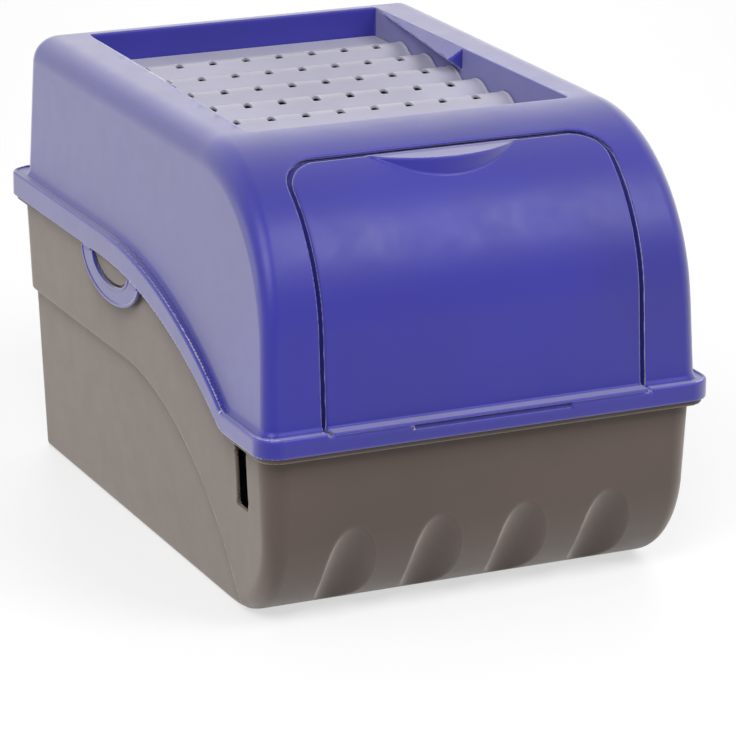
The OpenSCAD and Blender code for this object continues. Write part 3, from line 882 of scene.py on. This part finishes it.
def seen_rays(tree):
    """One for what the camera sees straight, mirrored or through a clear surface, else zero."""
    path = tree.nodes.new("ShaderNodeLightPath")
    total = path.outputs["Is Camera Ray"]
    for kind in ("Is Glossy Ray", "Is Transmission Ray"):
        larger = tree.nodes.new("ShaderNodeMath")
        larger.operation = "MAXIMUM"
        tree.links.new(total, larger.inputs[0])
        tree.links.new(path.outputs[kind], larger.inputs[1])
        total = larger.outputs["Value"]
    return total


def make_floor():
    """A round matt grey floor that glows for the camera, so that it looks nearly white."""
    mesh = bpy.data.meshes.new("floor")
    turns = np.linspace(0, 2 * math.pi, FLOOR_SIDES, False)
    ring = [(math.cos(a) * FLOOR_RADIUS, math.sin(a) * FLOOR_RADIUS, 0) for a in turns]
    mesh.from_pydata(ring, [], [list(range(FLOOR_SIDES))])
    floor = bpy.data.objects.new("floor", mesh)
    link(floor)
    material = bpy.data.materials.new("floor_white")
    material.use_nodes = True
    tree = material.node_tree
    shader = tree.nodes["Principled BSDF"]
    shader.inputs["Base Color"].default_value = FLOOR_COLOUR
    shader.inputs["Roughness"].default_value = FLOOR_ROUGHNESS
    seen = seen_rays(tree)
    lift = tree.nodes.new("ShaderNodeMath")
    lift.operation = "MULTIPLY"
    lift.inputs[1].default_value = FLOOR_LIFT
    tree.links.new(seen, lift.inputs[0])
    shader.inputs["Emission Color"].default_value = WHITE
    tree.links.new(lift.outputs["Value"], shader.inputs["Emission Strength"])
    floor.data.materials.append(material)


def make_world():
    """A background that the camera sees white and that lights the scene more weakly."""
    world = bpy.data.worlds.new("studio")
    bpy.context.scene.world = world
    world.use_nodes = True
    tree = world.node_tree
    back = tree.nodes["Background"]
    back.inputs["Color"].default_value = WHITE
    seen = seen_rays(tree)
    level = tree.nodes.new("ShaderNodeMapRange")
    level.inputs["To Min"].default_value = AMBIENT
    level.inputs["To Max"].default_value = 1.0
    tree.links.new(seen, level.inputs["Value"])
    tree.links.new(level.outputs["Result"], back.inputs["Strength"])


def lamp(name, place, aim, size, power):
    """A round lamp, in metres and watts."""
    light = bpy.data.lights.new(name, "AREA")
    light.shape = "DISK"
    light.size = size
    light.energy = power
    made = bpy.data.objects.new(name, light)
    made.location = place
    made.rotation_euler = (Vector(aim) - Vector(place)).to_track_quat("-Z", "Y").to_euler()
    link(made)


def make_camera():
    """Camera at the photograph's view."""
    level = math.cos(CAMERA_ELEVATION)
    back = Vector((math.sin(CAMERA_AZIMUTH) * level, -math.cos(CAMERA_AZIMUTH) * level,
                   math.sin(CAMERA_ELEVATION)))
    right = Vector((math.cos(CAMERA_AZIMUTH), math.sin(CAMERA_AZIMUTH), 0))
    up = back.cross(right)
    turned_right = right * math.cos(CAMERA_ROLL) + up * math.sin(CAMERA_ROLL)
    turned_up = up * math.cos(CAMERA_ROLL) - right * math.sin(CAMERA_ROLL)
    data = bpy.data.cameras.new("camera")
    data.sensor_width = SENSOR_MM
    data.lens = SENSOR_MM * CAMERA_FOCAL_PX / PHOTO_PX
    camera = bpy.data.objects.new("camera", data)
    turn = Matrix((turned_right, turned_up, back)).transposed().to_4x4()
    camera.matrix_world = Matrix.Translation(CAMERA_AIM + back * CAMERA_DISTANCE) @ turn
    link(camera)
    bpy.context.scene.camera = camera


make_floor()
make_world()
lamp("key", place=(-1.1, -1.35, 1.7), aim=(0, 0, 0.12), size=1.4, power=33)
lamp("right", place=(0.8, -1.3, 1.6), aim=(0, 0, 0.2), size=1.1, power=20)
lamp("left", place=(-2.2, 0.9, 0.3), aim=(0, 0, 0.12), size=1.0, power=15)
lamp("rim", place=(0.72, 1.5, 0.8), aim=(0, 0, 0.2), size=1.4, power=3.2)
make_camera()
bpy.context.scene.view_settings.view_transform = "Standard"
